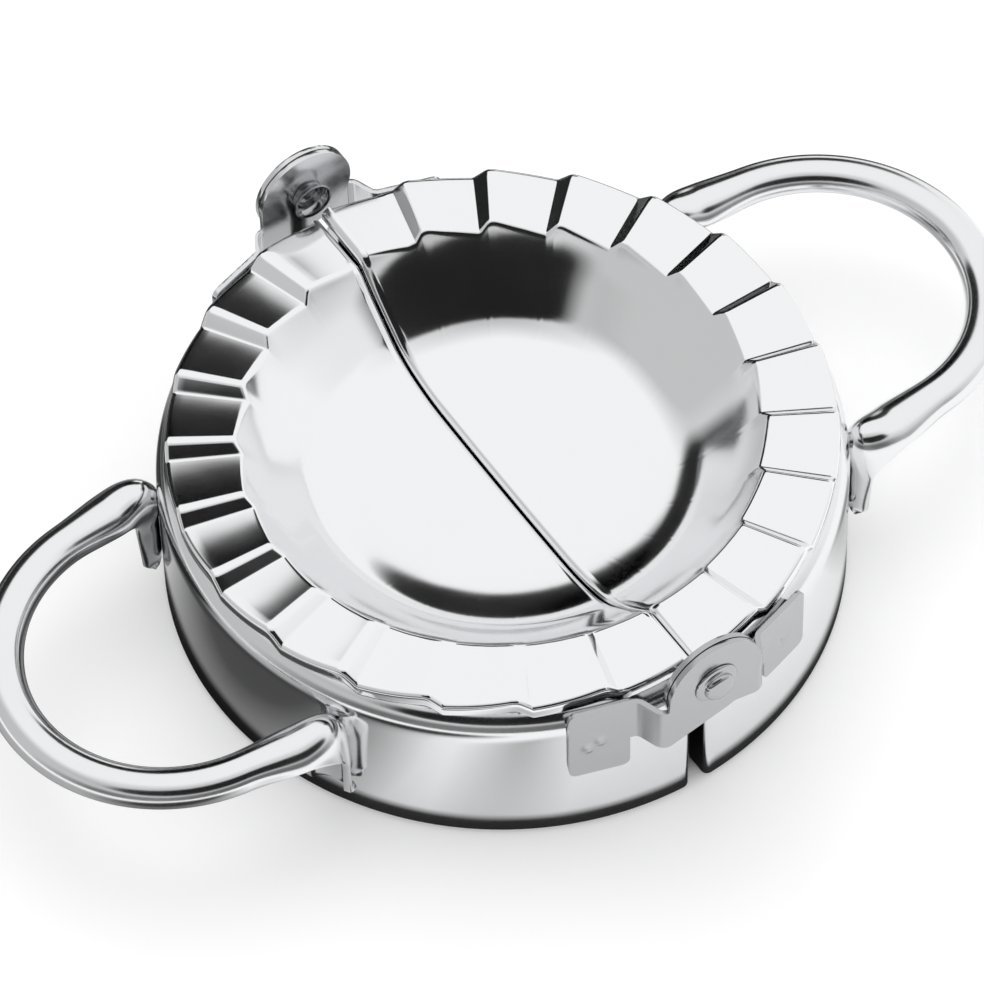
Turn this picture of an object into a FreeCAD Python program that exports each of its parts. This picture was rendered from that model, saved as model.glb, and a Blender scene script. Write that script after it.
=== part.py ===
import FreeCAD, Part
import math
import os
from FreeCAD import Vector, Rotation, Placement

os.makedirs("parts", exist_ok=True)

# Empanada press of polished sheet steel, open flat and standing on its two cutting skirts.
# Millimetres, +Z up, origin at the middle of the foot plane, hinge axis along Y.
# The right half is at +X. The left half is the same half turned half a turn about Z.

# Mould: pleated rim and bowl, pressed from one sheet in each half
rim_radius = 47.5
rim_height = 28.3            # middle plane of the pleats above the foot
mould_sheet = 0.6
pleat_rise = 1.75            # from a low crease to a high one, at the rim's edge
pleat_count = 12             # pleats in each half
step_share = 0.236           # share of a pleat's pitch that its steep step takes
lip_depth = 2.0              # the rim's edge turned down over the skirt
seam_gap = 0.6               # between the two halves along the split
seam_depth = 1.8             # the split edge turned down
seam_bevel = 0.35

# Bowl line, from the wall at the pleats down to the floor
wall_radius = 37.05          # where the wall's line meets the pleats' middle plane
wall_slope = 45.0            # degrees
bowl_depth = 14.5
floor_curve = 110.0
floor_flat = 12.0             # radius of the floor's flat middle
floor_count = 1
corner_curve = 12.0
corner_count = 2

# Cutting skirt, one round half ring in each half
skirt_overhang = 1.5         # beyond the rim's edge
skirt_sheet = 0.6
shoulder_radius = 4.5
shoulder_count = 3
top_flange = 1.0
seat_clearance = 0.05
hem_radius = 1.2
hem_count = 1
hem_width = 1.5
skirt_gap = 2.5              # between the two skirts at the hinge
return_depth = 4.0           # the skirt's end turned inward
end_round = 0.5

# Hinge brackets and their ears
hinge_rise = 0.9             # axis above the pleats' middle plane
bracket_sheet = 0.8
ear_radius = 7.5
ear_drop = 9.3               # lower corner of the ear below the axis
ear_stand = 2.25             # inner ear's face outside the skirt
ear_gap = 0.2                # between the two ears
tab_angle = 17.2             # degrees from the hinge axis to the middle of the tab
tab_width = 10.0
tab_height = 14.0
near_tab_drop = 1.5          # top of the tab and neck below the axis
far_tab_drop = 3.0
tab_corner = 1.2
neck_clearance = 0.9         # between an ear's round side and the neck of its partner
bend_radius = 1.2            # to the middle of the sheet
weld_clearance = 0.02
near = 0.01                  # how close two measured places count as one

# Rivet through both ears
shank_radius = 1.95
pivot_clearance = 0.05
rivet_play = 0.05
head_radius = 3.5
head_height = 1.7
tail_radius = 2.7
tail_length = 1.9
tail_wall = 0.55
tail_hollow = 1.6
collar_share = 0.65          # of the head's height is upright
dome_share = 0.8             # of the head's radius is flat on top

# Handle: a half round channel bent to a loop, its ends bent down onto the skirt
handle_width = 6.3
handle_sheet = 1.0
channel_count = 3
handle_loop_radius = 23.6    # to the middle of the channel
handle_reach = 29.8          # from the skirt to the middle of the channel at the loop's far side
handle_spread = 8.0          # degrees that each leg leans outward from the loop to the skirt
handle_drop = 9.3            # underside of the channel below the pleats' middle plane
handle_droop = 1.7           # degrees, the loop's fall outward
handle_bend = 4.2            # outer radius of the bend at each end
handle_mitre_run = 1.2
weld_spread = 2.45           # middle of each welded end beyond the loop's radius
foot_width = 7.4             # the pressed end at its tip
foot_rise = 2.8
foot_length = 11.0

# What follows from the driving dimensions
skirt_radius = rim_radius + skirt_overhang
lip_inner_radius = rim_radius - mould_sheet
half_seam = seam_gap / 2
half_skirt_gap = skirt_gap / 2
hinge_height = rim_height + hinge_rise
space = 4 * skirt_radius
up = Vector(0, 0, 1)
centre = Vector(0, 0, 0)


def turned(shape):
    """The same piece for the left half: half a turn about Z."""
    copy = shape.copy()
    copy.rotate(centre, up, 180)
    return copy


def mirrored(shape):
    """The same piece at the other end of the hinge."""
    return shape.mirror(centre, Vector(0, 1, 0))


def right_of(gap):
    """Everything to the right of a plane that stands off the hinge axis by a gap."""
    return Part.makeBox(space, space, space, Vector(gap, -space / 2, -space / 2))


def strip(gap, width):
    """A slab across the whole press, along its split."""
    return Part.makeBox(width, space, space, Vector(gap, -space / 2, -space / 2))


def drum(radius):
    return Part.makeCylinder(radius, space, Vector(0, 0, -space / 2))


def flat(radius, height):
    """A point of a section that is turned about Z."""
    return Vector(radius, 0, height)


def line(a, b):
    return Part.LineSegment(a, b).toShape()


def outline(points):
    """The face inside a closed outline of straight runs."""
    return Part.Face(Part.makePolygon(points + points[:1]))


def arc_points(middle, radius, from_deg, to_deg, runs):
    """Both ends and the joints of an arc of a section that is made of short straight runs."""
    points = []
    for i in range(runs + 1):
        t = math.radians(from_deg + (to_deg - from_deg) * i / runs)
        points.append(middle + Vector(radius * math.cos(t), 0, radius * math.sin(t)))
    return points


def spun(points):
    """The right half of the solid that a closed section makes when it is turned about Z."""
    face = outline(points)
    face.rotate(centre, up, -90)
    return face.revolve(centre, up, 180)


# Pleats

def pleat_creases():
    """Angle clockwise from +Y and level of each crease, from one end of the half to the other."""
    pitch = 180 / pleat_count
    step = step_share * pitch
    creases = [(0, 0.5)]
    for k in range(1, pleat_count):
        creases.append((k * pitch - step / 2, -0.5))
        creases.append((k * pitch + step / 2, 0.5))
    creases.append((180, -0.5))
    return creases


def pleated_slab(top, bottom):
    """The solid between the pleated surface raised by top and the same raised by bottom.
    Each pleat is flat, because its two creases run out from one point on the axis."""
    reach = rim_radius * 1.1

    def out(deg, level, raised):
        t = math.radians(deg)
        height = rim_height + level * pleat_rise * reach / rim_radius + raised
        return Vector(reach * math.sin(t), reach * math.cos(t), height)

    apex_top = Vector(0, 0, rim_height + top)
    apex_low = Vector(0, 0, rim_height + bottom)
    creases = pleat_creases()
    faces = []
    for (a, la), (b, lb) in zip(creases, creases[1:]):
        faces.append(outline([apex_top, out(a, la, top), out(b, lb, top)]))
        faces.append(outline([apex_low, out(b, lb, bottom), out(a, la, bottom)]))
        faces.append(outline([out(a, la, top), out(a, la, bottom), out(b, lb, bottom), out(b, lb, top)]))
    for deg, level in (creases[0], creases[-1]):
        faces.append(outline([apex_top, out(deg, level, top), out(deg, level, bottom), apex_low]))
    return Part.Solid(Part.makeShell(faces))


# Bowl

def bowl_corner():
    """Middle of the arc that is tangent to the bowl's wall and to its floor."""
    t = math.radians(wall_slope)
    start = flat(wall_radius, rim_height) + Vector(-math.sin(t), 0, math.cos(t)) * corner_curve
    along = Vector(-math.cos(t), 0, -math.sin(t))
    floor_middle = flat(0, rim_height - bowl_depth + floor_curve)
    span = floor_curve - corner_curve
    away = start - floor_middle
    half_b = away.dot(along)
    run = -half_b + math.sqrt(half_b * half_b - away.dot(away) + span * span)
    return start + along * run, floor_middle


def bowl_line(offset):
    """The bowl's section from the floor's middle to over the pleats, pushed down by an offset."""
    t = math.radians(wall_slope)
    middle, floor_middle = bowl_corner()
    meet = middle - floor_middle
    meet_deg = math.degrees(math.atan2(meet.z, meet.x))
    floor_deg = math.degrees(math.asin(floor_flat / floor_curve)) - 90
    floor = arc_points(floor_middle, floor_curve + offset, floor_deg, meet_deg, floor_count)
    corner = arc_points(middle, corner_curve + offset, meet_deg, wall_slope - 90, corner_count)
    wall_low = corner[-1]
    rise = rim_height + pleat_rise - wall_low.z
    wall_top = wall_low + Vector(rise / math.tan(t), 0, rise)
    return [flat(0, floor[0].z)] + floor + corner[1:] + [wall_top]


def above_bowl(offset):
    """The right half of the space above the bowl, or above the bowl pushed down by an offset."""
    points = bowl_line(offset)
    return spun(points + [flat(0, points[-1].z)])


def split_edge():
    """The bowl's edge along the split, turned down."""
    top = bowl_line(mould_sheet / 2)
    low = bowl_line(seam_depth)
    shape = [Vector(half_seam, p.x, p.z) for p in top + low[::-1]]
    face = outline(shape + [Vector(half_seam, -p.y, p.z) for p in shape[::-1] if p.y > 0])
    return face.extrude(Vector(mould_sheet, 0, 0))


def on_top_of_split(point):
    """Whether a point of the split lies on the mould's upper face."""
    r = math.hypot(point.y, half_seam)
    level = 0.5 if point.y > 0 else -0.5
    height = rim_height + level * pleat_rise * r / rim_radius
    points = bowl_line(0)
    for a, b in zip(points, points[1:]):
        if a.x <= r < b.x:
            height = min(height, a.z + (b.z - a.z) * (r - a.x) / (b.x - a.x))
    return abs(point.z - height) < near


def make_mould():
    """One half of the mould: pleated rim with its lip, bowl, and the split edge turned down."""
    cavity = above_bowl(0)
    over = pleated_slab(3 * pleat_rise, 0)
    rim = pleated_slab(0, -lip_depth).common(drum(rim_radius))
    rim = rim.cut(pleated_slab(-mould_sheet, -2 * lip_depth).common(drum(lip_inner_radius)))
    bowl = above_bowl(mould_sheet).cut(cavity).cut(over)
    rim_edge = pleated_slab(0, -seam_depth).common(drum(rim_radius - mould_sheet / 2)).cut(above_bowl(seam_depth))
    edge = rim_edge.common(strip(half_seam, mould_sheet)).fuse(split_edge().cut(over))
    mould = rim.cut(above_bowl(mould_sheet)).fuse([bowl, edge]).common(right_of(half_seam))
    mould = mould.removeSplitter()
    upper = []
    for e in mould.Edges:
        on_split = max(abs(v.X - half_seam) for v in e.Vertexes) < near
        p = e.valueAt((e.FirstParameter + e.LastParameter) / 2)
        if on_split and abs(p.y) < lip_inner_radius and on_top_of_split(p):
            upper.append(e)
    return mould.makeChamfer(seam_bevel, upper)


# Skirt

def skirt_top():
    """Height of the skirt's top: its shoulder meets the lip's inner lower edge at the low creases."""
    lip_low = rim_height - pleat_rise / 2 - lip_depth - seat_clearance
    in_from_shoulder = lip_inner_radius - (skirt_radius - shoulder_radius)
    under_lip = lip_low + shoulder_radius - math.sqrt(shoulder_radius ** 2 - in_from_shoulder ** 2)
    under_pleats = rim_height - pleat_rise / 2 - mould_sheet - seat_clearance
    return min(under_lip, under_pleats)


def skirt_line(top, inset):
    """The skirt's section from the top of its shoulder to the foot, moved inward by an inset."""
    shoulder = flat(skirt_radius - shoulder_radius, top - shoulder_radius)
    hem = flat(skirt_radius - hem_radius, hem_radius)
    points = arc_points(shoulder, shoulder_radius - inset, 90, 0, shoulder_count)
    return points + arc_points(hem, hem_radius - inset, 0, -90, hem_count)


def make_skirt():
    """One half ring: shoulder under the rim, upright wall, hem turned in and both ends turned in."""
    top = skirt_top()
    flange_end = skirt_radius - shoulder_radius - top_flange
    hem_end = skirt_radius - hem_radius - hem_width
    outer = skirt_line(top, 0)
    inner = skirt_line(top, skirt_sheet)[::-1]
    hem = [flat(hem_end, 0), flat(hem_end, skirt_sheet)]
    flange = [flat(flange_end, top - skirt_sheet), flat(flange_end, top)]
    ring = spun(outer + hem + inner + flange)
    filled = spun(outer + [flat(0, 0), flat(0, top)])
    ends = filled.cut(drum(skirt_radius - return_depth)).common(strip(half_skirt_gap, skirt_sheet))
    skirt = ring.common(right_of(half_skirt_gap)).fuse(ends).removeSplitter()
    upright = []
    for e in skirt.Edges:
        a, b = e.Vertexes[0].Point, e.Vertexes[-1].Point
        on_end = max(abs(a.x - half_skirt_gap), abs(b.x - half_skirt_gap)) < near
        if on_end and abs(a.z - b.z) > rim_height / 2 and abs(math.hypot(a.x, a.y) - skirt_radius) < near:
            upright.append(e)
    return skirt.makeFillet(end_round, upright)


# Sheet outlines

def rounded_wire(points, radii, lift):
    """A closed outline through 2D corners, each rounded by its radius; lift places a 2D point."""
    def unit(a, b):
        d = math.hypot(b[0] - a[0], b[1] - a[1])
        return (b[0] - a[0]) / d, (b[1] - a[1]) / d

    def shift(p, u, d):
        return p[0] + u[0] * d, p[1] + u[1] * d

    count = len(points)
    entries = []
    for i in range(count):
        p = points[i]
        back = unit(p, points[i - 1])
        on = unit(p, points[(i + 1) % count])
        turn = math.acos(max(-1, min(1, back[0] * on[0] + back[1] * on[1])))
        if radii[i] == 0:
            entries.append((p, None, p))
            continue
        cut = radii[i] / math.tan(turn / 2)
        half = (back[0] + on[0], back[1] + on[1])
        size = math.hypot(half[0], half[1])
        reach = radii[i] / math.sin(turn / 2) - radii[i]
        middle = shift(p, (half[0] / size, half[1] / size), reach)
        entries.append((shift(p, back, cut), middle, shift(p, on, cut)))
    edges = []
    for i in range(count):
        start, middle, end = entries[i]
        if middle:
            edges.append(Part.Arc(lift(*start), lift(*middle), lift(*end)).toShape())
        edges.append(line(lift(*end), lift(*entries[(i + 1) % count][0])))
    return Part.Wire(edges)


def bent_band(path, thickness, bend):
    """The outline, seen from above, of a sheet that follows a path of straight runs with round bends."""
    def side(sign):
        runs = []
        for a, b in zip(path, path[1:]):
            d = math.hypot(b[0] - a[0], b[1] - a[1])
            n = (-(b[1] - a[1]) / d * sign * thickness / 2, (b[0] - a[0]) / d * sign * thickness / 2)
            runs.append(((a[0] + n[0], a[1] + n[1]), (b[0] + n[0], b[1] + n[1])))
        corners = [runs[0][0]]
        for (a, b), (c, d) in zip(runs, runs[1:]):
            ux, uy, vx, vy = b[0] - a[0], b[1] - a[1], d[0] - c[0], d[1] - c[1]
            s = ((c[0] - a[0]) * vy - (c[1] - a[1]) * vx) / (ux * vy - uy * vx)
            corners.append((a[0] + ux * s, a[1] + uy * s))
        corners.append(runs[-1][1])
        return corners

    turns = []
    for a, b, c in zip(path, path[1:], path[2:]):
        turns.append((b[0] - a[0]) * (c[1] - b[1]) - (b[1] - a[1]) * (c[0] - b[0]))
    left = [0] + [bend - thickness / 2 if t > 0 else bend + thickness / 2 for t in turns] + [0]
    right = [0] + [bend + thickness / 2 if t > 0 else bend - thickness / 2 for t in turns] + [0]
    corners = side(1) + side(-1)[::-1]
    return corners, left + right[::-1]


# Hinge brackets

def make_bracket(outer, tab_drop):
    """A bracket of the right half's far end: tab on the skirt, stepped neck and round ear."""
    stand = skirt_radius + ear_stand + bracket_sheet / 2
    ear_y = stand + (bracket_sheet + ear_gap if outer else 0)
    t = math.radians(tab_angle)
    out = skirt_radius + weld_clearance + bracket_sheet / 2
    middle = (out * math.sin(t), out * math.cos(t))
    half = tab_width / 2
    tab_end = (middle[0] + half * math.cos(t), middle[1] - half * math.sin(t))
    tab_start = (middle[0] - half * math.cos(t), middle[1] + half * math.sin(t))
    ear_start = (ear_radius + neck_clearance, ear_y)
    ear_end = (-ear_radius - neck_clearance, ear_y)
    corners, radii = bent_band([tab_end, tab_start, ear_start, ear_end], bracket_sheet, bend_radius)
    low = hinge_height - tab_drop - tab_height
    wire = rounded_wire(corners, radii, lambda x, y: Vector(x, y, low - tab_height))
    band = Part.Face(wire).extrude(up * space)

    def side_view(x, z):
        return Vector(x, 0, hinge_height + z)

    inner_x = tab_start[0] + bend_radius
    tab_low = -tab_drop - tab_height
    corners = [(ear_radius, -tab_drop), (tab_end[0], -tab_drop), (tab_end[0], tab_low),
               (inner_x, tab_low), (inner_x, -ear_drop), (ear_radius, -ear_drop)]
    tab = Part.Face(rounded_wire(corners, [0, tab_corner, tab_corner, tab_corner, tab_corner, 0], side_view))
    slope = 2 * math.atan2(-ear_drop, ear_radius)
    touch = (ear_radius * math.cos(slope), ear_radius * math.sin(slope))
    ear = outline([side_view(0, 0), side_view(ear_radius, 0), side_view(ear_radius, -ear_drop), side_view(*touch)])
    along = Vector(0, space, 0)
    disc = Part.makeCylinder(ear_radius, space, side_view(0, 0), along)
    side = tab.extrude(along).fuse([ear.extrude(along), disc])
    hole = Part.makeCylinder(shank_radius + pivot_clearance, space, side_view(0, 0), along)
    return band.common(side).cut(hole).removeSplitter()


def make_rivet():
    """The far rivet: bevelled head outside the ears, hollow tail inside them."""
    grip = 2 * bracket_sheet + ear_gap
    base = rivet_play
    back = -grip - rivet_play
    tip = back - tail_length
    head_top = base + head_height
    collar_top = base + head_height * collar_share
    hollow_radius = tail_radius - tail_wall
    hollow_end = tip + tail_hollow
    section = [
        flat(head_radius * dome_share, head_top),
        flat(0, head_top),
        flat(0, hollow_end),
        flat(hollow_radius, hollow_end),
        flat(hollow_radius, tip),
        flat(tail_radius, tip),
        flat(tail_radius, back),
        flat(shank_radius, back),
        flat(shank_radius, base),
        flat(head_radius, base),
        flat(head_radius, collar_top),
    ]
    rivet = outline(section).revolve(centre, up, 360)
    ear_face = skirt_radius + ear_stand + grip
    rivet.Placement = Placement(Vector(0, ear_face, hinge_height), Rotation(Vector(1, 0, 0), -90))
    return rivet


# Handle

def channel(middle, across, crown, width, rise):
    """The channel's closed section: a round back and its hollow. Crown points to the back."""
    half = width / 2
    peak = math.sin(math.pi * (channel_count // 2) / channel_count)
    points = []
    for inset, turn in ((0, 1), (handle_sheet, -1)):
        for i in range(channel_count + 1):
            t = math.pi * i / channel_count
            side = across * ((half - inset) * math.cos(t) * turn)
            points.append(middle + side + crown * ((rise - inset) * math.sin(t) / peak))
    return Part.makePolygon(points + points[:1])


def make_handle():
    """The right handle: loop, mitred legs, rounded bends and pressed ends on the skirt."""
    rise = handle_width / 2
    touch = skirt_radius + weld_clearance
    weld = math.asin((handle_loop_radius + weld_spread) / (touch + handle_bend))
    out = Vector(math.cos(weld), math.sin(weld), 0)
    across = Vector(-math.sin(weld), math.cos(weld), 0)
    under = rim_height - handle_drop
    knee = out * (touch + handle_bend) + up * under
    leg_x = knee.x + foot_width / 2 * math.sin(weld) + handle_mitre_run
    droop = Rotation(Vector(0, 1, 0), handle_droop)

    side = math.radians(90 - handle_spread)
    middle_x = skirt_radius + handle_reach - handle_loop_radius - leg_x
    away = Vector(math.cos(side), math.sin(side), 0)
    towards_skirt = Vector(-math.sin(side), math.cos(side), 0)
    loop_end = away * handle_loop_radius + Vector(middle_x, 0, 0)
    leg_length = loop_end.x / math.sin(side)
    section = Part.Face(channel(loop_end, away, up, handle_width, rise))
    loop = section.revolve(Vector(middle_x, 0, 0), up, 2 * handle_spread - 180)
    leg = section.extrude(towards_skirt * leg_length)
    ring = loop.fuse([leg, mirrored(leg)])
    ring.Placement = Placement(Vector(leg_x, 0, under), droop)

    leg_y = loop_end.y + leg_length * math.cos(side)
    leg_end = channel(
        Vector(leg_x, leg_y, under), droop.multVec(away), droop.multVec(up), handle_width, rise)
    mitre = channel(knee, across, up, foot_width, rise)
    run = Part.makeLoft([leg_end, mitre], True, True)
    bend_low = under + rise - handle_bend
    bend = Part.Face(mitre).revolve(Vector(knee.x, knee.y, bend_low), across, -90)
    top = channel(out * (touch + rise) + up * bend_low, across, out * -1, foot_width, rise)
    tip_low = up * (bend_low - foot_length)
    tip = channel(out * (touch + foot_rise) + tip_low, across, out * -1, foot_width, foot_rise)
    foot = Part.makeLoft([top, tip], True, True)
    far_end = run.fuse([bend, foot])
    return ring.fuse([far_end, mirrored(far_end)]).removeSplitter()


def save(name, shape):
    solids = shape.Solids
    assert shape.isValid() and len(solids) == 1, name
    solids[0].exportStep("parts/" + name + ".step")
    print(name, round(solids[0].Volume, 1), "mm3")


mould = make_mould()
skirt = make_skirt()
handle = make_handle()
rivet = make_rivet()
save("mould_right", mould)
save("mould_left", turned(mould))
save("skirt_right", skirt)
save("skirt_left", turned(skirt))
save("handle_right", handle)
save("handle_left", turned(handle))
save("bracket_right_far", make_bracket(True, far_tab_drop))
save("bracket_left_near", turned(make_bracket(True, near_tab_drop)))
save("bracket_right_near", mirrored(make_bracket(False, near_tab_drop)))
save("bracket_left_far", turned(mirrored(make_bracket(False, far_tab_drop))))
save("rivet_far", rivet)
save("rivet_near", turned(rivet))
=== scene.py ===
import math

import bmesh
import bpy
import numpy as np
from mathutils import Matrix, Vector


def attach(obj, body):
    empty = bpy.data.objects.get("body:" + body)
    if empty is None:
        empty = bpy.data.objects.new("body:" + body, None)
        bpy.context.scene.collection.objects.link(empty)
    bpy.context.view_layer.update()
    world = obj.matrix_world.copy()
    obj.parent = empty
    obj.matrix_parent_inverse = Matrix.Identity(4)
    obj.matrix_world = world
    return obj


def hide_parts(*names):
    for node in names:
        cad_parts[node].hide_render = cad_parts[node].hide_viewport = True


# Empanada press of polished sheet steel. Lengths below are in millimetres until a mesh is made.
# The right half is at +X; the left half is the same half turned half a turn about Z.

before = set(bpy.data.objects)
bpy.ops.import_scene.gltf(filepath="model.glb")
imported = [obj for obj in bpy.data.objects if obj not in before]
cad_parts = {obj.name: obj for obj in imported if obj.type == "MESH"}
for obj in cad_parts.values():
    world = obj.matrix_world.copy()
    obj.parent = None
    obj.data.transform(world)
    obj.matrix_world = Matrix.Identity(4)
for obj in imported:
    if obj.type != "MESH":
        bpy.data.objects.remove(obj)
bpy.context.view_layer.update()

MM = 0.001
RIM_RADIUS = 47.5
RIM_HEIGHT = 28.3
PLEAT_RISE = 1.75
PLEAT_COUNT = 12
STEP_SHARE = 0.236
LIP_DEPTH = 2.0
HALF_SEAM = 0.15
SEAM_DEPTH = 1.8
WALL_RADIUS = 37.05
# radius, and the bowl's slope there in degrees, from the middle to the top of its wall
BOWL_SLOPES = ((0.0, 0.0), (15.8, 2.0), (23.8, 18.0), (28.4, 42.0), (32.8, 43.0), (WALL_RADIUS, 54.0))
SKIRT_RADIUS = 49.0
SKIRT_TOP = 26.07
SHOULDER = 4.5
HEM = 1.2
END_TURN = 4.0
HINGE_HEIGHT = 29.2
EAR_RADIUS = 7.5
EAR_OUT = 2.25
EAR_SHEET = 0.8
EAR_GAP = 0.2
TAB_TURN = math.radians(17.2)
HANDLE_UNDER = RIM_HEIGHT - 9.3
HANDLE_RISE = 3.15
HANDLE_LOOP = 23.6
HANDLE_REACH = 55.2
HANDLE_FOOT = 7.0
KNEE_CURVE = 4.4
WIDER = 0.35
WELD_TURN = math.radians(28.5)
PITCH = 180.0 / PLEAT_COUNT
STEP = STEP_SHARE * PITCH


# Meshes

def grid_quads(index):
    """The four corners of each cell of a grid of vertex numbers."""
    return np.stack([index[:-1, :-1], index[1:, :-1], index[1:, 1:], index[:-1, 1:]], -1).reshape(-1, 4)


def grid_piece(name, points, body, node, material, flip=False, turn=False, wall=0.0,
               wall_side=-1.0, round_over=0.15):
    """A sheet whose quads join the neighbours of a grid of points. Turned, x and y change sign. A wall is
    added by a Solidify modifier on the inner side, and its free edges are rounded by a Bevel modifier."""
    rows, columns = points.shape[:2]
    places = points.reshape(-1, 3) * MM
    if turn:
        places = places * np.array([-1.0, -1.0, 1.0])
    quads = grid_quads(np.arange(rows * columns).reshape(rows, columns))
    if flip:
        quads = quads[:, ::-1]
    mesh = bpy.data.meshes.new(name)
    mesh.from_pydata(places.tolist(), [], quads.tolist())
    work = bmesh.new()
    work.from_mesh(mesh)
    bmesh.ops.remove_doubles(work, verts=work.verts, dist=0.002 * MM)
    bmesh.ops.dissolve_degenerate(work, edges=work.edges, dist=0.0005 * MM)
    work.to_mesh(mesh)
    work.free()
    mesh.polygons.foreach_set("use_smooth", np.ones(len(mesh.polygons), dtype=bool))
    mesh.materials.append(material)
    piece = bpy.data.objects.new(name, mesh)
    bpy.context.scene.collection.objects.link(piece)
    if wall:
        sheet = piece.modifiers.new("wall", "SOLIDIFY")
        sheet.thickness = wall * MM
        sheet.offset = wall_side
        sheet.use_even_offset = False
    if round_over:
        edge = piece.modifiers.new("edge", "BEVEL")
        edge.width = round_over * MM
        edge.segments = 2
        edge.limit_method = "ANGLE"
        edge.angle_limit = math.radians(55)
    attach(piece, body)
    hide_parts(node)
    return piece


def smooth(low, high, x):
    """Nought below low, one above high, and a smooth S between them."""
    t = np.clip((x - low) / (high - low), 0.0, 1.0)
    return t * t * (3 - 2 * t)


def bump(distance, width):
    """A bell of height one: e to the minus square of distance over width."""
    return np.exp(-(distance / width) ** 2)


# Mould

def pleat_level(deg):
    """Level of the pleats, half at a high ridge and minus half at a low crease. Each pleat falls from
    ridge to crease, a steep face rises to a narrow crown, and the crown runs to the ridge. Corners are
    parabolas."""
    edge_low = PITCH * np.arange(1, PLEAT_COUNT) - STEP / 2
    edge_high = edge_low + STEP
    starts = np.concatenate([[0.0], edge_high])
    ends = np.concatenate([edge_low, [180.0]])
    k = np.clip(np.searchsorted(starts, deg, side="right") - 1, 0, PLEAT_COUNT - 1)
    t = np.clip((deg - starts[k]) / (ends[k] - starts[k]), 0.0, 1.0)
    hollow, crown, crown_drop = 0.30, 1.1, 0.02
    level = 0.5 - t - hollow * t * (1 - t)
    following = np.minimum(k, PLEAT_COUNT - 2)
    low, high = edge_low[following], edge_high[following]
    face = (1 - crown_drop) / (STEP - crown)
    on_top = crown_drop / crown
    rise = np.minimum(-0.5 + (deg - low) * face, 0.5 - (high - deg) * on_top)
    on_step = (deg > low) & (deg < high) & (k < PLEAT_COUNT - 1)
    level = np.where(on_step, rise, level)
    facet = 1 / (PITCH - STEP)
    for corners, half, turn in ((edge_high, 0.45, -(on_top + facet * (1 + hollow))),
                                (edge_high - crown, 0.5, on_top - face),
                                (edge_low, 0.22, face + facet * (1 - hollow))):
        away = np.min(np.abs(deg[..., None] - corners), axis=-1)
        level = level + turn * np.maximum(half - away, 0.0) ** 2 / (4 * half)
    return level


def bowl_height(r):
    """Height of the bowl below the pleats' middle plane, summed from the wall's top inward over arcs that
    are tangent to each other: on an arc the sine of the slope is linear in the radius, so the height
    changes by the change of the slope's cosine over that bend."""
    places, slopes = np.array(BOWL_SLOPES).T
    sines = np.sin(np.radians(slopes))
    height = np.zeros_like(r)
    for k in range(len(places) - 1):
        bend = (sines[k + 1] - sines[k]) / (places[k + 1] - places[k])
        last = places[k + 1] if k < len(places) - 2 else math.inf
        sine = np.clip(sines[k] + bend * (np.clip(r, places[k], last) - places[k]), 0.0, 1.0)
        height = height - (np.sqrt(1 - sine ** 2) - math.sqrt(1 - sines[k + 1] ** 2)) / bend
    return height


def mould_height(r, deg):
    """The lower of pleats and bowl, rounded where they cross. The bowl's wall takes up the pleats' waves
    near its top and loses them as it goes down."""
    level = pleat_level(deg)
    pleats = level * PLEAT_RISE * r / RIM_RADIUS
    wave = 0.18 * level * smooth(WALL_RADIUS - 3.05, WALL_RADIUS - 0.25, r)
    bowl = bowl_height(r) + wave
    fold = 0.55
    near = np.maximum(fold - np.abs(pleats - bowl), 0.0)
    return np.minimum(pleats, bowl) - near ** 2 / (4 * fold)


def mould_columns(split):
    """Angles clockwise from +Y of the radial lines: even steps along the split at both ends, and between
    them close lines at every crease and ridge."""
    middle_most = 6.2
    y = np.linspace(math.sqrt(RIM_RADIUS ** 2 - split ** 2), middle_most, 44)
    along = np.degrees(np.arctan2(split, y))
    steps = PITCH * np.arange(1, PLEAT_COUNT)
    low, high = steps - STEP / 2, steps + STEP / 2
    at_low = np.array([-1.6, -0.9, -0.45, -0.22, -0.1, 0.0, 0.1, 0.22, 0.5])
    at_high = np.array([-1.6, -1.4, -1.25, -1.1, -0.95, -0.8, -0.6, -0.45, -0.3, -0.15,
                        0.0, 0.15, 0.3, 0.45, 0.9])
    inside = np.arange(2.0, PITCH - STEP - 1.7, 1.3)
    middle = np.concatenate([
        (low[:, None] + at_low).ravel(), (high[:, None] + at_high).ravel(),
        (high[:-1, None] + inside).ravel()])
    middle = middle[(middle > along[-1]) & (middle < 180 - along[-1])]
    return np.unique(np.round(np.concatenate([along, middle, 180 - along]), 5))


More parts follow.
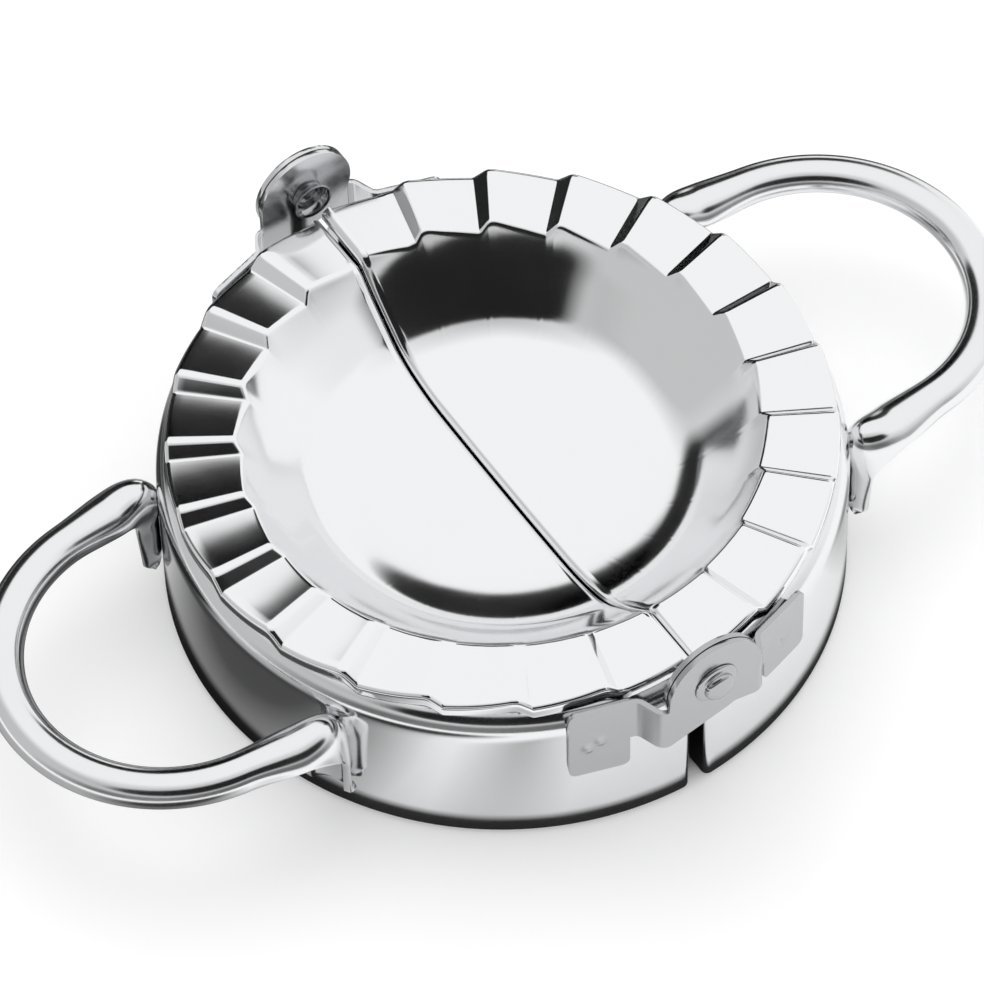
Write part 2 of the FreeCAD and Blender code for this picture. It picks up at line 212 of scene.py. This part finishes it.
def mould(side, body, material):
    """Grid of radial lines by rows. The rows go up the turned-down split edge, over its round, across
    the bowl, over the fold, out along the pleats, round the rim's edge and down its lip."""
    roll = 1.35
    split = HALF_SEAM + roll
    deg = mould_columns(split)
    angle = np.radians(deg)
    start = split / np.sin(angle)
    level = pleat_level(deg)
    cross = WALL_RADIUS / (1 - level * PLEAT_RISE / RIM_RADIUS)
    bend = 0.9

    def row(r):
        r = np.maximum(r, start)
        return np.stack([r * np.sin(angle), r * np.cos(angle), mould_height(r, deg)], -1)

    rows = []
    edge = row(start)
    y = edge[:, 1]
    for drop in (SEAM_DEPTH, SEAM_DEPTH - 0.12, roll + 0.12):
        rows.append(np.stack([np.full_like(y, HALF_SEAM), y, edge[:, 2] - drop], -1))
    for t in np.radians(np.linspace(90, 10, 9)):
        x = np.full_like(y, split - roll * math.sin(t))
        rows.append(np.stack([x, y, edge[:, 2] - roll * (1 - math.cos(t))], -1))
    across_fold = (-2.2, -1.8, -1.5, -1.2, -1.0, -0.8, -0.6, -0.4, -0.2, 0.0, 0.2, 0.4, 0.6, 0.8, 1.0, 1.3)
    inner, outer = cross + across_fold[0], RIM_RADIUS - bend
    for t in np.linspace(0, 1, 56)[:-1]:
        rows.append(row(start + (inner - start) * t ** 0.9))
    for d in across_fold:
        rows.append(row(cross + d))
    beyond = cross + across_fold[-1]
    for t in np.linspace(0, 1, 9)[1:]:
        rows.append(row(beyond + (outer - beyond) * t))
    rim = row(np.full_like(angle, outer))
    for t in np.radians(np.linspace(0, 90, 8)[1:]):
        r = np.maximum(outer + bend * math.sin(t), start)
        z = rim[:, 2] - bend * (1 - math.cos(t))
        rows.append(np.stack([r * np.sin(angle), r * np.cos(angle), z], -1))
    for drop in (bend + 0.3, bend + 0.7, LIP_DEPTH):
        r = np.full_like(angle, RIM_RADIUS)
        rows.append(np.stack([r * np.sin(angle), r * np.cos(angle), rim[:, 2] - drop], -1))
    points = np.stack(rows)
    points[..., 2] += RIM_HEIGHT
    return grid_piece("mould_dressed_" + side, points, body, "mould_" + side, material, flip=True,
                      turn=side == "left", wall=0.6, round_over=0.12)


# Skirt

def skirt_profile():
    """Radius and height from the inner edge of the top, round the shoulder, down the wall and round the
    hem to its inner edge."""
    across, low = SKIRT_RADIUS - SHOULDER, SKIRT_TOP - SHOULDER
    flange = [(across - 1.0, SKIRT_TOP), (across - 0.5, SKIRT_TOP)]
    t = np.radians(np.linspace(90, 0, 16))
    shoulder = np.stack([across + SHOULDER * np.cos(t), low + SHOULDER * np.sin(t)], -1)
    z = np.linspace(low, HEM, 34)[1:-1]
    wall = np.stack([np.full_like(z, SKIRT_RADIUS), z], -1)
    t = np.radians(np.linspace(0, -90, 9))
    hem = np.stack([SKIRT_RADIUS - HEM + HEM * np.cos(t), HEM + HEM * np.sin(t)], -1)
    foot = [(SKIRT_RADIUS - 2.0, 0.0), (SKIRT_RADIUS - 2.7, 0.0)]
    return np.concatenate([flange, shoulder, wall, hem, foot])


def skirt(side, body, material):
    """The profile turned about Z from split to split, then round each corner and inward along the split.
    The hem goes round the corners too: there its rows stand in from the split as they do from the wall."""
    profile = skirt_profile()
    r, z = profile[:, 0], profile[:, 1]
    corner = 0.9
    gap = 1.25 + np.where(z < HEM, SKIRT_RADIUS - r, 0.0)
    first = np.degrees(np.arcsin((gap + corner) / r))
    lines = []
    near_end = 0.04
    share = np.concatenate([np.linspace(0, near_end, 8)[:-1], np.linspace(near_end, 1 - near_end, 150),
                            np.linspace(1 - near_end, 1, 8)[1:]])
    for s in share:
        deg = np.radians(first + (180 - 2 * first) * s)
        lines.append(np.stack([r * np.sin(deg), r * np.cos(deg), z], -1))
    y = r * np.cos(np.radians(first))
    ends = []
    for t in np.radians(np.linspace(90, 180, 9)[1:]):
        x_turn, y_turn = corner * math.cos(t), corner * math.sin(t)
        ends.append(np.stack([gap + corner + x_turn, y - corner + y_turn, z], -1))
    inner = np.minimum(SKIRT_RADIUS - END_TURN, y - corner)
    for s in np.linspace(0, 1, 6)[1:]:
        ends.append(np.stack([gap, (y - corner) * (1 - s) + inner * s, z], -1))
    mirror = np.array([1.0, -1.0, 1.0])
    points = np.stack(ends[::-1] + lines + [e * mirror for e in ends])
    return grid_piece("skirt_dressed_" + side, points, body, "skirt_" + side, material,
                      turn=side == "left", wall=0.6, round_over=0.12)


# Handle

def handle_line():
    """Stations along half of the handle, from the loop's far side to a welded end: the middle of the open
    side, the direction across, the direction of the round back, half the width and the rise."""
    touch = SKIRT_RADIUS + 0.02
    out = np.array([math.cos(WELD_TURN), math.sin(WELD_TURN), 0.0])
    across_end = np.array([-math.sin(WELD_TURN), math.cos(WELD_TURN), 0.0])
    up = np.array([0.0, 0.0, 1.0])
    foot = out * (touch + HANDLE_RISE) + up * HANDLE_UNDER
    hang_x = 49.42
    middle_x = HANDLE_REACH - hang_x
    droop = math.radians(1.7)

    def placed(t):
        """A place in the drooping loop: at the turn t, on the circle round the loop's middle."""
        x, y = middle_x + HANDLE_LOOP * math.cos(t), HANDLE_LOOP * math.sin(t)
        return np.array([hang_x + x * math.cos(droop), y, HANDLE_UNDER - x * math.sin(droop)])

    crown_ring = np.array([math.sin(droop), 0.0, math.cos(droop)])
    stations = []
    loop_end = math.radians(82.0)
    for t in np.linspace(0, loop_end, 60):
        side = np.array([math.cos(t) * math.cos(droop), math.sin(t), -math.cos(t) * math.sin(droop)])
        stations.append((placed(t), side, crown_ring, HANDLE_RISE, HANDLE_RISE))
    lean = math.pi / 2 - loop_end
    side_leg = np.array([math.sin(lean) * math.cos(droop), math.cos(lean), 0.0])
    begin = placed(loop_end)
    along = (foot - begin) / np.linalg.norm(foot - begin)
    knee = foot - along * KNEE_CURVE
    for s in np.linspace(0, 1, 25)[1:]:
        w = s * s * (3 - 2 * s)
        crown = crown_ring * (1 - w) + up * w
        stations.append((begin + (knee - begin) * s, side_leg, crown / np.linalg.norm(crown),
                         HANDLE_RISE + WIDER * w, HANDLE_RISE))
    for t in np.radians(np.linspace(0, 90, 22)[1:]):
        s = t / math.radians(90)
        w = s * s * (3 - 2 * s)
        side = side_leg * (1 - w) + across_end * w
        inward = along * (1 - w) - out * w
        inward = inward / np.linalg.norm(inward)
        place = foot - along * KNEE_CURVE * (1 - math.sin(t)) - up * KNEE_CURVE * (1 - math.cos(t))
        crown = up * math.cos(t) + inward * math.sin(t)
        stations.append((place, side / np.linalg.norm(side), crown,
                         HANDLE_RISE + WIDER, HANDLE_RISE + 2.0 * math.sin(2 * t) ** 2))
    low = foot - up * KNEE_CURVE
    length = low[2] - HANDLE_FOOT
    round_start = 0.85
    for s in np.concatenate([np.linspace(0, round_start, 12)[1:], np.linspace(0.88, 1.0, 7)]):
        into_round = max(s - round_start, 0) / (1 - round_start)
        rounding = 1.6 * (1 - math.sqrt(max(1 - into_round ** 2, 0)))
        rise = HANDLE_RISE + (2.8 - HANDLE_RISE) * s - rounding
        place = out * (touch + rise) + up * (low[2] - length * s)
        stations.append((place, across_end, -out, HANDLE_RISE + WIDER, rise))
    return stations


def handle(side, body, material):
    """At each station the section is half a flattened ellipse: across times half the width times a power of
    the cosine, plus the back's direction times the rise times a power of the sine. Towards the welded end
    the open rims flare outward. The other half of the handle is its mirror image."""
    stations = handle_line()
    place, across, crown, half, rise = (np.array(column) for column in zip(*stations))
    t = np.radians(np.concatenate([[0.0, 4.0], np.linspace(9, 171, 25), [176.0, 180.0]]))
    wide = np.sign(np.cos(t)) * np.abs(np.cos(t)) ** 0.98
    tall = np.maximum(np.sin(t), 0.0) ** 0.94
    order = np.arange(len(stations))
    flare = 0.12 * smooth(60, 84, order) * (1 - 0.8 * smooth(100, 116, order))
    wide = wide * (1 + flare[:, None] * (1 - tall) ** 2)
    section = (across[:, None] * half[:, None, None] * wide[..., None]
               + crown[:, None] * rise[:, None, None] * tall[None, :, None])
    far = place[:, None] + section
    near = far * np.array([1.0, -1.0, 1.0])
    points = np.concatenate([near[::-1], far[1:]])
    return grid_piece("handle_dressed_" + side, points, body, "handle_" + side, material,
                      turn=side == "left", wall=1.0, round_over=0.25)


# Hinge

def bracket(name, outer, tab_drop, tab_low, near, turn, body, material, dimples):
    """A sheet that follows a bent line seen from above: tab along the skirt, neck and ear. Its lower and
    upper edges are functions of x, so each column runs from one to the other. The weld spots are bells
    pressed out or in."""
    neck_low = -9.3
    ear_flat, tab_half, inset, bend, corner = 0.9, 5.0, 1.2, 1.7, 1.2
    stand = SKIRT_RADIUS + EAR_OUT + EAR_SHEET / 2
    ear_y = stand + (EAR_SHEET + EAR_GAP if outer else 0.0)
    out = SKIRT_RADIUS + 0.02 + EAR_SHEET / 2
    middle = np.array([out * math.sin(TAB_TURN), out * math.cos(TAB_TURN)])
    run = np.array([math.cos(TAB_TURN), -math.sin(TAB_TURN)])
    tab_end, tab_start = middle + tab_half * run, middle - tab_half * run
    ear_start = np.array([EAR_RADIUS + ear_flat, ear_y])
    ear_end = np.array([-EAR_RADIUS, ear_y])
    corners = [ear_end, ear_start, tab_start, tab_end]
    line = [corners[0]]
    for a, b, c in zip(corners, corners[1:], corners[2:]):
        u, v = (a - b) / np.linalg.norm(a - b), (c - b) / np.linalg.norm(c - b)
        cut = bend * math.tan((math.pi - math.acos(u @ v)) / 2)
        s = np.linspace(0, 1, 9)[:, None]
        line.extend(b + u * cut * (1 - s) ** 2 + v * cut * s ** 2)
    line = np.array(line + [corners[-1]])
    along = np.concatenate([[0], np.cumsum(np.linalg.norm(np.diff(line, axis=0), axis=1))])
    turn_share = 0.5 - 0.5 * np.cos(np.linspace(0, math.pi, 60))
    x_ear = -EAR_RADIUS + 2 * EAR_RADIUS * turn_share
    inner_x = tab_start[0] + inset
    quarter = (1 - np.cos(np.linspace(0, math.pi / 2, 10))) * corner
    x = np.unique(np.round(np.concatenate([
        x_ear, np.linspace(EAR_RADIUS, inner_x, 24), inner_x + 0.02 + quarter,
        np.linspace(inner_x + corner + 0.1, tab_end[0] - corner - 0.1, 26), tab_end[0] - quarter]), 4))
    s = np.interp(x, line[:, 0], along)
    px, py = np.interp(s, along, line[:, 0]), np.interp(s, along, line[:, 1])
    round_up = np.sqrt(np.maximum(EAR_RADIUS ** 2 - np.minimum(x, EAR_RADIUS) ** 2, 0))
    high = np.where(x < EAR_RADIUS, np.maximum(round_up, np.where(x > 0, -tab_drop, -99)), -tab_drop)
    slope = 2 * math.atan2(neck_low, EAR_RADIUS)
    touch = EAR_RADIUS * np.array([math.cos(slope), math.sin(slope)])
    tangent = touch[1] + (x - touch[0]) * (neck_low - touch[1]) / (EAR_RADIUS - touch[0])
    low = np.where(x < touch[0], -round_up, np.where(x < EAR_RADIUS, tangent, neck_low))
    d_in = np.maximum(corner - (x - inner_x - 0.02), 0)
    d_out = np.maximum(corner - (tab_end[0] - x), 0)
    rounded = corner - np.sqrt(np.maximum(corner ** 2 - np.maximum(d_in, d_out) ** 2, 0))
    low = np.where(x > inner_x + 0.01, tab_low + rounded, low)
    high = high - (corner - np.sqrt(np.maximum(corner ** 2 - d_out ** 2, 0)))
    v = 0.5 - 0.5 * np.cos(np.linspace(0, math.pi, 41))
    z = low[:, None] + (high - low)[:, None] * v
    points = np.stack([px[:, None] + 0 * z, py[:, None] + 0 * z, HINGE_HEIGHT + z], -1)
    normal = np.array([math.sin(TAB_TURN), math.cos(TAB_TURN), 0.0])
    for along_tab, down, depth in dimples:
        spot = np.array([middle[0] + along_tab * run[0], HINGE_HEIGHT - tab_drop - down])
        d = np.hypot((points[..., 0] - spot[0]) / run[0], points[..., 2] - spot[1])
        points = points + (depth * bump(d, 0.65))[..., None] * normal
    if near:
        points = points * np.array([1.0, -1.0, 1.0])
    if turn:
        points = points * np.array([-1.0, -1.0, 1.0])
    return grid_piece(name + "_dressed", points, body, name, material, flip=near, wall=EAR_SHEET,
                      wall_side=0.0, round_over=0.2)


def rivet(name, turn, body, material):
    """A profile turned about the hinge axis: a head with a thin flange and a dome on it, the shank between
    the ears, and a hollow tail that flares. The turn's cosine and sine times the radius give x and z."""
    face = SKIRT_RADIUS + EAR_OUT + 2 * EAR_SHEET + EAR_GAP
    back = -1.85
    dome = [(0.0, 1.75), (0.5, 1.74), (1.0, 1.70), (1.5, 1.61), (1.85, 1.48), (2.1, 1.30), (2.25, 1.08),
            (2.3, 0.85), (2.3, 0.64)]
    flange = [(2.34, 0.56), (2.45, 0.51), (2.7, 0.48), (3.0, 0.43), (3.2, 0.35), (3.35, 0.22),
              (3.38, 0.12), (3.34, 0.06), (3.2, 0.05)]
    shank = [(1.95, 0.05), (1.95, back), (2.45, back)]
    tail = [(2.45, back - 0.5), (2.5, back - 0.9), (2.62, back - 1.2), (2.85, back - 1.6),
            (3.02, back - 1.82), (3.06, back - 1.9), (3.0, back - 1.97), (2.85, back - 1.96)]
    hollow = [(2.6, back - 1.75), (2.2, back - 1.35), (1.95, back - 0.9), (1.85, back - 0.4),
              (1.8, back + 0.4), (1.5, back + 0.62), (0.7, back + 0.7), (0.0, back + 0.7)]
    profile = np.array(dome + flange + shank + tail + hollow)
    t = np.linspace(0, 2 * math.pi, 97)
    r, along = profile[:, :1], profile[:, 1:]
    points = np.stack([r * np.cos(t), face + along + 0 * t, HINGE_HEIGHT + r * np.sin(t)], -1)
    return grid_piece(name + "_dressed", points, body, name, material, flip=True,
                      turn=turn, round_over=0.0)


# Materials

def new_material(name):
    material = bpy.data.materials.new(name)
    material.use_nodes = True
    nodes, links = material.node_tree.nodes, material.node_tree.links
    return material, nodes, links, nodes["Principled BSDF"]


def noise(nodes, links, coordinates, scale, detail, stretch=(1, 1, 1)):
    """Noise on Object coordinates, in waves per metre, stretched along the axes."""
    mapping = nodes.new("ShaderNodeMapping")
    mapping.inputs["Scale"].default_value = stretch
    links.new(coordinates, mapping.inputs["Vector"])
    texture = nodes.new("ShaderNodeTexNoise")
    texture.inputs["Scale"].default_value = scale
    texture.inputs["Detail"].default_value = detail
    links.new(mapping.outputs["Vector"], texture.inputs["Vector"])
    return texture.outputs["Fac"]


def ranged(nodes, links, value, from_low, from_high, low, high):
    node = nodes.new("ShaderNodeMapRange")
    node.inputs["From Min"].default_value = from_low
    node.inputs["From Max"].default_value = from_high
    node.inputs["To Min"].default_value = low
    node.inputs["To Max"].default_value = high
    links.new(value, node.inputs["Value"])
    return node.outputs["Result"]


def maths(nodes, links, operation, a, b=None):
    """A Math node whose inputs are numbers or sockets."""
    node = nodes.new("ShaderNodeMath")
    node.operation = operation
    for socket, value in zip(node.inputs, (a, b)):
        if value is None:
            continue
        if isinstance(value, (int, float)):
            socket.default_value = value
        else:
            links.new(value, socket)
    return node.outputs[0]


def steel(name, tone, smoothness, wave_height, scratch_height, smudge):
    """Polished sheet steel: long low waves of the pressing, fine scratches and patches where the polish is
    duller. Tone is the metal's own colour, smoothness the roughness at its best."""
    material, nodes, links, shader = new_material(name)
    place = nodes.new("ShaderNodeTexCoord").outputs["Object"]
    shader.inputs["Metallic"].default_value = 1.0
    shader.inputs["Base Color"].default_value = (*tone, 1.0)
    patches = noise(nodes, links, place, 90.0, 3.0)
    rough = ranged(nodes, links, patches, 0.35, 0.75, smoothness, smoothness + smudge)
    links.new(rough, shader.inputs["Roughness"])
    waves = noise(nodes, links, place, 60.0, 1.5)
    first = nodes.new("ShaderNodeBump")
    first.inputs["Strength"].default_value = 1.0
    first.inputs["Distance"].default_value = wave_height * MM
    links.new(waves, first.inputs["Height"])
    scratches = noise(nodes, links, place, 1500.0, 2.0, (1.0, 0.06, 0.4))
    lines = ranged(nodes, links, scratches, 0.62, 0.8, 0.0, 1.0)
    second = nodes.new("ShaderNodeBump")
    second.inputs["Strength"].default_value = 1.0
    second.inputs["Distance"].default_value = scratch_height * MM
    links.new(lines, second.inputs["Height"])
    links.new(first.outputs["Normal"], second.inputs["Normal"])
    links.new(second.outputs["Normal"], shader.inputs["Normal"])
    return material


# Studio

def tent_material():
    """Light tent: white, with soft dark openings given by azimuth, elevation and half widths in degrees."""
    material = bpy.data.materials.new("tent_cloth")
    material.use_nodes = True
    nodes, links = material.node_tree.nodes, material.node_tree.links
    nodes.clear()
    place = nodes.new("ShaderNodeTexCoord").outputs["Object"]
    parts = nodes.new("ShaderNodeSeparateXYZ")
    way = nodes.new("ShaderNodeVectorMath")
    way.operation = "NORMALIZE"
    links.new(place, way.inputs[0])
    links.new(way.outputs[0], parts.inputs[0])

    def calc(operation, a, b=None):
        return maths(nodes, links, operation, a, b)

    x, y, z = parts.outputs
    elevation = calc("MULTIPLY", calc("ARCSINE", z), 180 / math.pi)
    white = None
    for azimuth, height, half_wide, half_high, soft, dark in TENT_OPENINGS:
        a = math.radians(azimuth)
        side = calc("SUBTRACT", calc("MULTIPLY", x, math.cos(a)), calc("MULTIPLY", y, math.sin(a)))
        ahead = calc("ADD", calc("MULTIPLY", x, math.sin(a)), calc("MULTIPLY", y, math.cos(a)))
        turn = calc("MULTIPLY", calc("ARCTAN2", side, ahead), 180 / math.pi)
        above = calc("SUBTRACT", elevation, height)
        u = calc("POWER", calc("ABSOLUTE", calc("DIVIDE", turn, half_wide)), 3.0)
        v = calc("POWER", calc("ABSOLUTE", calc("DIVIDE", above, half_high)), 3.0)
        reach = calc("POWER", calc("ADD", u, v), 1 / 3.0)
        light = ranged(nodes, links, reach, 1.0 - soft, 1.0 + soft, dark, 1.0)
        white = light if white is None else calc("MULTIPLY", white, light)
    glow = nodes.new("ShaderNodeEmission")
    links.new(white, glow.inputs["Color"])
    glow.inputs["Strength"].default_value = 1.0
    end = nodes.new("ShaderNodeOutputMaterial")
    links.new(glow.outputs[0], end.inputs["Surface"])
    return material


# azimuth clockwise from +Y, elevation, half width, half height, softness, darkness
TENT_OPENINGS = (
    # ahead: where the bowl's near side slopes 8 to 20 degrees it mirrors this, which gives its dark ring
    (30, 25, 20, 12, 0.10, 0.02),
    # ahead to the left, low: mirrored by the pleats' steep steps
    (0, 10, 30, 25, 0.10, 0.02),
    # behind the camera: mirrored by the bowl's far wall, and its softer surround
    (-160, 40, 50, 15, 0.10, 0.02),
    (-150, 55, 50, 15, 0.70, 0.60),
    # under the camera: mirrored by lips and by the near sides of the handles
    (-150, 5, 60, 15, 0.30, 0.25),
    # a grey card at the left and one low at the right, which shade the round walls
    (-75, 20, 50, 30, 0.30, 0.60),
    (170, 0, 45, 30, 0.40, 0.60),
)


def studio_tent():
    """A sphere round the object: radius times cosine and sine of the turn and of the rise."""
    radius = 1.6
    steps = np.radians(np.linspace(-89.9, 89.9, 49)), np.radians(np.linspace(0, 360, 97))
    rise, turn = np.meshgrid(*steps, indexing="ij")
    points = radius * np.stack([np.cos(rise) * np.cos(turn), np.cos(rise) * np.sin(turn), np.sin(rise)], -1)
    rows, columns = points.shape[:2]
    quads = grid_quads(np.arange(rows * columns).reshape(rows, columns))
    mesh = bpy.data.meshes.new("studio_tent")
    mesh.from_pydata(points.reshape(-1, 3).tolist(), [], quads.tolist())
    mesh.materials.append(tent_material())
    tent = bpy.data.objects.new("studio_tent", mesh)
    bpy.context.scene.collection.objects.link(tent)
    tent.visible_camera = False
    tent.visible_diffuse = False
    tent.visible_transmission = False
    tent.visible_shadow = False
    return tent


def ring_mesh(name, inner, outer, height):
    """A flat ring: radius times cosine and sine of the turn."""
    turn = np.linspace(0, 2 * math.pi, 97)[:-1]
    r = np.linspace(inner, outer, 5)[:, None]
    points = np.stack([r * np.cos(turn), r * np.sin(turn), height + 0 * r * turn], -1)
    rows, columns = points.shape[:2]
    index = np.arange(rows * columns).reshape(rows, columns)
    quads = grid_quads(np.concatenate([index, index[:, :1]], 1))
    mesh = bpy.data.meshes.new(name)
    mesh.from_pydata(points.reshape(-1, 3).tolist(), [], quads.tolist())
    ring = bpy.data.objects.new(name, mesh)
    bpy.context.scene.collection.objects.link(ring)
    return ring


def studio_floor():
    """A pale floor. Gloss sees only its inner disc, and the glow that keeps it white for camera and gloss
    ends under the object, which leaves the floor under and just round the foot darker: painted shade."""
    material, nodes, links, shader = new_material("floor_paper")
    shader.inputs["Base Color"].default_value = (0.88, 0.88, 0.88, 1.0)
    shader.inputs["Roughness"].default_value = 1.0
    shader.inputs["Specular IOR Level"].default_value = 0.0
    shader.inputs["Emission Color"].default_value = (1.0, 1.0, 1.0, 1.0)
    path = nodes.new("ShaderNodeLightPath").outputs
    shown = maths(nodes, links, "MAXIMUM", path["Is Camera Ray"], path["Is Glossy Ray"])
    reach = nodes.new("ShaderNodeVectorMath")
    reach.operation = "LENGTH"
    links.new(nodes.new("ShaderNodeTexCoord").outputs["Object"], reach.inputs[0])
    # painted shade under the object: the glow fades to nought from 49.5 mm to 45.5 mm from the middle
    glow_beyond_painted_shade = ranged(nodes, links, reach.outputs["Value"], 45.5 * MM, 49.5 * MM, 0.0, 0.24)
    links.new(maths(nodes, links, "MULTIPLY", shown, glow_beyond_painted_shade), shader.inputs["Emission Strength"])
    under = ring_mesh("studio_floor", 0.0, 0.5, 0.0)
    under.data.materials.append(material)
    wide = ring_mesh("studio_floor_wide", 0.5, 3.0, 0.0)
    wide.data.materials.append(material)
    wide.visible_glossy = False


# painted shade on the floor, seen only in reflections: soft dark patches for the object's shadow round and
# beside its foot and for a darker floor farther out. Places in millimetres: middle x, y, half widths,
# softness, darkness
FLOOR_PAINTED_SHADE = (
    (-105, 5, 52, 75, 0.35, 0.42),
    (-66, 2, 19, 42, 0.45, 0.14),
    (-98, -72, 34, 44, 0.30, 0.06),
    (20, 260, 260, 190, 0.12, 0.08),
    (105, 72, 62, 36, 0.20, 0.05),
    (-80, 62, 50, 34, 0.20, 0.06),
    (58, -30, 12, 10, 0.60, 0.35),
    (58, 24, 14, 14, 0.60, 0.35),
    (-32, -58, 7, 14, 0.80, 0.55),
    (-1, -1, 50, 50, 0.01, 0.04),
)


def studio_painted_floor_shade():
    """A clear sheet just over the floor with painted shade on it: soft dark patches which only gloss sees,
    so the metal mirrors a shaded floor.
    """
    material = bpy.data.materials.new("floor_painted_shade_sheet")
    material.use_nodes = True
    nodes, links = material.node_tree.nodes, material.node_tree.links
    nodes.clear()
    parts = nodes.new("ShaderNodeSeparateXYZ")
    links.new(nodes.new("ShaderNodeTexCoord").outputs["Object"], parts.inputs[0])

    def calc(operation, a, b=None):
        return maths(nodes, links, operation, a, b)

    def square(socket, middle, half):
        share = calc("DIVIDE", calc("SUBTRACT", socket, middle * MM), half * MM)
        return calc("MULTIPLY", share, share)

    clear = None
    # each patch is painted shade: it darkens what gloss sees of the floor
    for x, y, half_x, half_y, soft, dark in FLOOR_PAINTED_SHADE:
        away = calc("ADD", square(parts.outputs[0], x, half_x), square(parts.outputs[1], y, half_y))
        light = ranged(nodes, links, calc("SQRT", away), 1.0 - soft, 1.0 + soft, dark, 1.0)
        clear = light if clear is None else calc("MULTIPLY", clear, light)
    sheet = nodes.new("ShaderNodeBsdfTransparent")
    links.new(clear, sheet.inputs["Color"])
    end = nodes.new("ShaderNodeOutputMaterial")
    links.new(sheet.outputs[0], end.inputs["Surface"])
    cards = ring_mesh("studio_painted_floor_shade", 0.0, 0.49, 0.0002)
    cards.data.materials.append(material)
    cards.visible_camera = False
    cards.visible_diffuse = False
    cards.visible_transmission = False
    cards.visible_shadow = False


def studio_light():
    """White all round for camera and gloss, a plain level for the floor, and one wide lamp above."""
    world = bpy.data.worlds.new("studio")
    bpy.context.scene.world = world
    world.use_nodes = True
    nodes, links = world.node_tree.nodes, world.node_tree.links
    ground = nodes["Background"]
    ground.inputs["Color"].default_value = (1.0, 1.0, 1.0, 1.0)
    path = nodes.new("ShaderNodeLightPath").outputs
    shown = maths(nodes, links, "MAXIMUM", path["Is Camera Ray"], path["Is Glossy Ray"])
    shown = maths(nodes, links, "MAXIMUM", shown, path["Is Transmission Ray"])
    level = ranged(nodes, links, shown, 0.0, 1.0, 0.82, 1.0)
    links.new(level, ground.inputs["Strength"])
    lamp = bpy.data.lights.new("soft_lamp", "AREA")
    lamp.shape = "DISK"
    lamp.size = 0.9
    lamp.energy = 2.2
    holder = bpy.data.objects.new("soft_lamp", lamp)
    holder.location = (0.15, 0.35, 0.95)
    holder.rotation_mode = "QUATERNION"
    holder.rotation_quaternion = Vector(holder.location).to_track_quat("Z", "Y")
    holder.visible_glossy = False
    bpy.context.scene.collection.objects.link(holder)


def studio_camera():
    """The photograph's view: behind the near hinge to the left, 52 degrees above the floor."""
    focal, distance = 6635.906, 931.370
    rise, turn, roll = 0.914770, -0.560826, -0.0269393
    middle = (501.894, 430.393)
    picture = 984
    back = np.array([math.sin(turn) * math.cos(rise), -math.cos(turn) * math.cos(rise), math.sin(rise)])
    level = np.array([math.cos(turn), math.sin(turn), 0.0])
    upright = np.cross(back, level)
    right = math.cos(roll) * level + math.sin(roll) * upright
    up = -math.sin(roll) * level + math.cos(roll) * upright
    forward = -back + (picture / 2 - middle[0]) / focal * right - (picture / 2 - middle[1]) / focal * up
    forward /= np.linalg.norm(forward)
    right = right - forward * (right @ forward)
    right /= np.linalg.norm(right)
    up = np.cross(right, forward)
    place = (np.array([0, 0, RIM_HEIGHT]) + distance * back) * MM
    camera = bpy.data.objects.new("camera", bpy.data.cameras.new("camera"))
    camera.data.sensor_width = 36.0
    camera.data.lens = camera.data.sensor_width * focal / picture
    camera.data.clip_start, camera.data.clip_end = 0.05, 20.0
    rotation = Matrix((right, up, -forward)).transposed()
    camera.matrix_world = Matrix.Translation(place) @ rotation.to_4x4()
    bpy.context.scene.collection.objects.link(camera)
    bpy.context.scene.camera = camera


bpy.context.scene.view_settings.view_transform = "Standard"
studio_camera()
studio_floor()
studio_painted_floor_shade()
studio_tent()
studio_light()

mould_steel = steel("mould_steel", (0.88, 0.885, 0.895), 0.09, 0.10, 0.0, 0.04)
skirt_steel = steel("skirt_steel", (0.82, 0.825, 0.835), 0.10, 0.10, 0.002, 0.06)
handle_steel = steel("handle_steel", (0.84, 0.845, 0.855), 0.13, 0.05, 0.002, 0.06)
bracket_steel = steel("bracket_steel", (0.47, 0.475, 0.49), 0.17, 0.16, 0.002, 0.08)
# painted light: the far brackets get a lighter copy of the bracket steel, which keeps their inner faces
# bright where they mirror the dark floor under the object
lit_far_bracket_steel = steel("lit_far_bracket_steel", (0.74, 0.745, 0.76), 0.16, 0.05, 0.002, 0.08)
rivet_steel = steel("rivet_metal", (0.46, 0.465, 0.48), 0.12, 0.03, 0.002, 0.06)

for side in ("right", "left"):
    half = side + "_half"
    mould(side, half, mould_steel)
    skirt(side, half, skirt_steel)
    handle(side, half, handle_steel)
dent = (0.4, 7.0, -0.25)
bracket("bracket_right_far", True, 3.9, -17.0, False, False, "right_half", lit_far_bracket_steel, (dent,))
bracket("bracket_left_near", True, 1.5, -15.5, False, True, "left_half", bracket_steel,
        ((2.3, 8.1, 0.45), (0.5, 7.0, 0.45)))
bracket("bracket_right_near", False, 1.5, -13.4, True, False, "right_half", bracket_steel, (dent,))
bracket("bracket_left_far", False, 3.9, -17.0, True, True, "left_half", lit_far_bracket_steel, (dent,))
rivet("rivet_far", False, "left_half", rivet_steel)
rivet("rivet_near", True, "left_half", rivet_steel)
